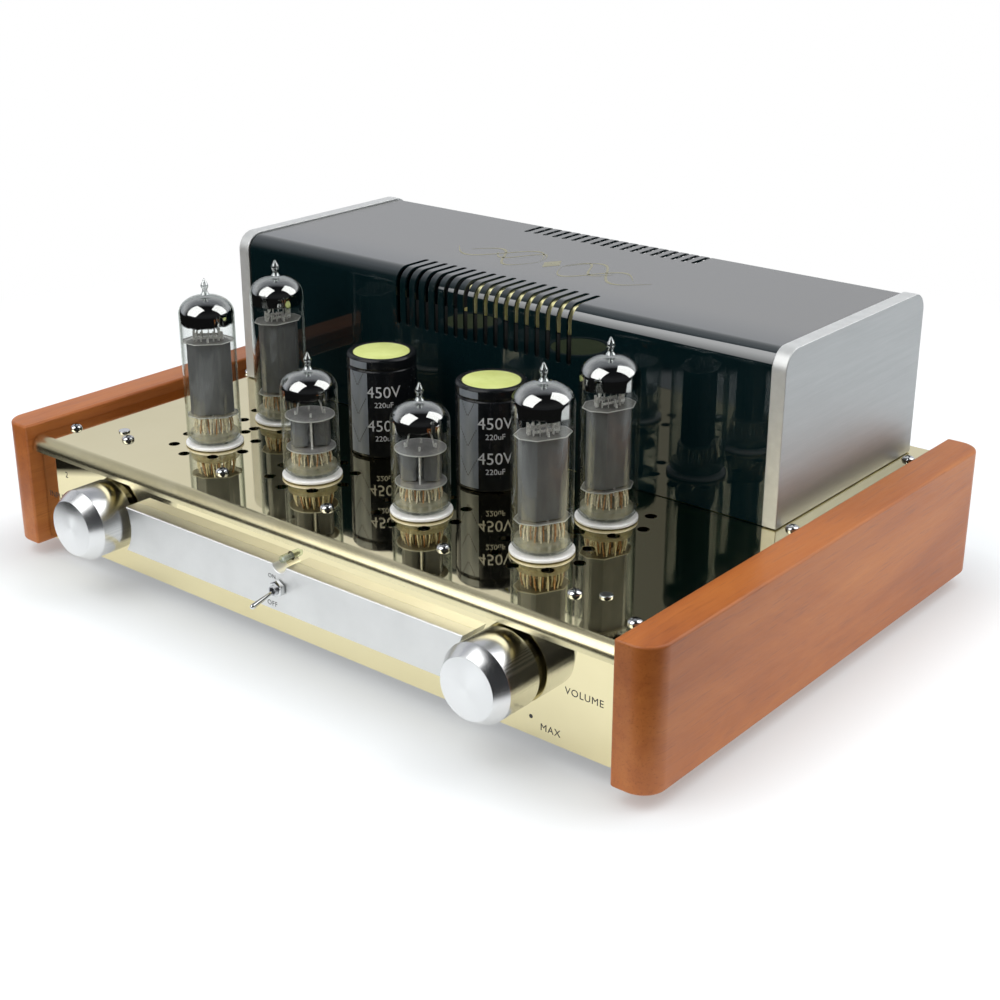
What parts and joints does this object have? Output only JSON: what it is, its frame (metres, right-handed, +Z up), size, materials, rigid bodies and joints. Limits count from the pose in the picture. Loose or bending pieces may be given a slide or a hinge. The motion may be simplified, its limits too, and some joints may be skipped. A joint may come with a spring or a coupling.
{
  "type": "tube amplifier",
  "caption": "Desktop stereo valve amplifier: mirror-polished deck with valves, capacitors and a slotted transformer cover between wooden sides, knobs and a toggle in front.",
  "frame": {"origin": "centre of the footprint, on the surface that the feet stand on", "axes": "+X to the listener's right along the front, +Y from the front to the back, +Z up"},
  "size_m": [0.329, 0.2568, 0.123],
  "materials": {
    "gold_steel": "mirror polished, pale gold tone",
    "plated_steel": "satin plated",
    "wood": "cherry stain, satin lacquer",
    "rubber": "matt",
    "satin_aluminium": "fine brushed, clear anodised",
    "turned_aluminium": "bright turned",
    "control_metal": "dull plated",
    "chrome": "bright",
    "lens": "clear lens, unlit",
    "ceramic": "white glaze",
    "electrode_metal": "dull grey",
    "valve_glass": "clear",
    "capacitor_sleeve": "black shrink sleeve",
    "black_enamel": "gloss black with a blue-green cast",
    "core_steel": "laminated, varnished",
    "coil_tape": "pale yellow tape",
    "circuit_laminate": "solder resist",
    "black_plastic": "moulded",
    "gilt_brass": "gilt",
    "red_plastic": "moulded"
  },
  "bodies": {
    "chassis": {"deck_plate": "gold_steel", "front_panel": "gold_steel", "rear_panel": "plated_steel", "bottom_tray": "plated_steel", "wood_side_left": "wood", "wood_side_right": "wood", "foot_front_left": "rubber", "foot_front_right": "rubber", "foot_rear_left": "rubber", "foot_rear_right": "rubber", "fascia_bar": "satin_aluminium", "selector_switch": "control_metal", "volume_potentiometer": "control_metal", "toggle_body": "plated_steel", "toggle_nut": "chrome", "power_lamp": "lens", "power_valve_front_left_socket": "ceramic", "power_valve_rear_left_socket": "ceramic", "driver_valve_left_socket": "ceramic", "driver_valve_right_socket": "ceramic", "power_valve_front_right_socket": "ceramic", "power_valve_rear_right_socket": "ceramic", "capacitor_left": "capacitor_sleeve", "capacitor_right": "capacitor_sleeve", "transformer_cover": "black_enamel", "cover_end_left": "satin_aluminium", "cover_end_right": "satin_aluminium", "mains_transformer_core": "core_steel", "mains_transformer_coil": "coil_tape", "output_transformer_left_core": "core_steel", "output_transformer_left_coil": "coil_tape", "output_transformer_right_core": "core_steel", "output_transformer_right_coil": "coil_tape", "circuit_board": "circuit_laminate", "mains_inlet": "black_plastic", "fuse_holder": "black_plastic", "line_input_block": "gilt_brass", "speaker_terminal_strip": "gilt_brass"},
    "volume_control": {"volume_knob": "turned_aluminium", "volume_shaft": "plated_steel"},
    "selector_control": {"selector_knob": "turned_aluminium", "selector_shaft": "plated_steel"},
    "power_lever": {"toggle_lever": "chrome"},
    "fuse_carrier": {"fuse_cap": "black_plastic"},
    "power_valve_front_left": {"power_valve_front_left_electrodes": "electrode_metal", "power_valve_front_left_glass": "valve_glass"},
    "power_valve_rear_left": {"power_valve_rear_left_electrodes": "electrode_metal", "power_valve_rear_left_glass": "valve_glass"},
    "driver_valve_left": {"driver_valve_left_electrodes": "electrode_metal", "driver_valve_left_glass": "valve_glass"},
    "driver_valve_right": {"driver_valve_right_electrodes": "electrode_metal", "driver_valve_right_glass": "valve_glass"},
    "power_valve_front_right": {"power_valve_front_right_electrodes": "electrode_metal", "power_valve_front_right_glass": "valve_glass"},
    "power_valve_rear_right": {"power_valve_rear_right_electrodes": "electrode_metal", "power_valve_rear_right_glass": "valve_glass"},
    "terminal_cap_left_red": {"terminal_cap_left_red": "red_plastic"},
    "terminal_cap_left_black": {"terminal_cap_left_black": "black_plastic"},
    "terminal_cap_right_red": {"terminal_cap_right_red": "red_plastic"},
    "terminal_cap_right_black": {"terminal_cap_right_black": "black_plastic"}
  },
  "joints": [
    {"name": "volume_turn", "type": "hinge", "parent": "chassis", "child": "volume_control", "pos_m": [0.1025, -0.118, 0.0312], "axis": [0, 1, 0], "range_deg": [-150, 150]},
    {"name": "selector_turn", "type": "hinge", "parent": "chassis", "child": "selector_control", "pos_m": [-0.1025, -0.118, 0.0312], "axis": [0, 1, 0], "range_deg": [-30, 60]},
    {"name": "power_toggle", "type": "hinge", "parent": "chassis", "child": "power_lever", "pos_m": [-0.0005, -0.114, 0.0306], "axis": [-1, 0, 0], "range_deg": [0, 24]},
    {"name": "fuse_pull", "type": "slide", "parent": "chassis", "child": "fuse_carrier", "axis": [0, 1, 0], "range_m": [0, 0.018]},
    {"name": "power_valve_front_left_lift", "type": "slide", "parent": "chassis", "child": "power_valve_front_left", "axis": [0, 0, 1], "range_m": [0, 0.03]},
    {"name": "power_valve_rear_left_lift", "type": "slide", "parent": "chassis", "child": "power_valve_rear_left", "axis": [0, 0, 1], "range_m": [0, 0.03]},
    {"name": "driver_valve_left_lift", "type": "slide", "parent": "chassis", "child": "driver_valve_left", "axis": [0, 0, 1], "range_m": [0, 0.03]},
    {"name": "driver_valve_right_lift", "type": "slide", "parent": "chassis", "child": "driver_valve_right", "axis": [0, 0, 1], "range_m": [0, 0.03]},
    {"name": "power_valve_front_right_lift", "type": "slide", "parent": "chassis", "child": "power_valve_front_right", "axis": [0, 0, 1], "range_m": [0, 0.03]},
    {"name": "power_valve_rear_right_lift", "type": "slide", "parent": "chassis", "child": "power_valve_rear_right", "axis": [0, 0, 1], "range_m": [0, 0.03]},
    {"name": "terminal_cap_left_red_turn", "type": "hinge", "parent": "chassis", "child": "terminal_cap_left_red", "pos_m": [-0.126, 0.122, 0.03], "axis": [0, -1, 0], "range_deg": [0, 360]},
    {"name": "terminal_cap_left_black_turn", "type": "hinge", "parent": "chassis", "child": "terminal_cap_left_black", "pos_m": [-0.104, 0.122, 0.03], "axis": [0, -1, 0], "range_deg": [0, 360]},
    {"name": "terminal_cap_right_red_turn", "type": "hinge", "parent": "chassis", "child": "terminal_cap_right_red", "pos_m": [-0.082, 0.122, 0.03], "axis": [0, -1, 0], "range_deg": [0, 360]},
    {"name": "terminal_cap_right_black_turn", "type": "hinge", "parent": "chassis", "child": "terminal_cap_right_black", "pos_m": [-0.06, 0.122, 0.03], "axis": [0, -1, 0], "range_deg": [0, 360]}
  ]
}
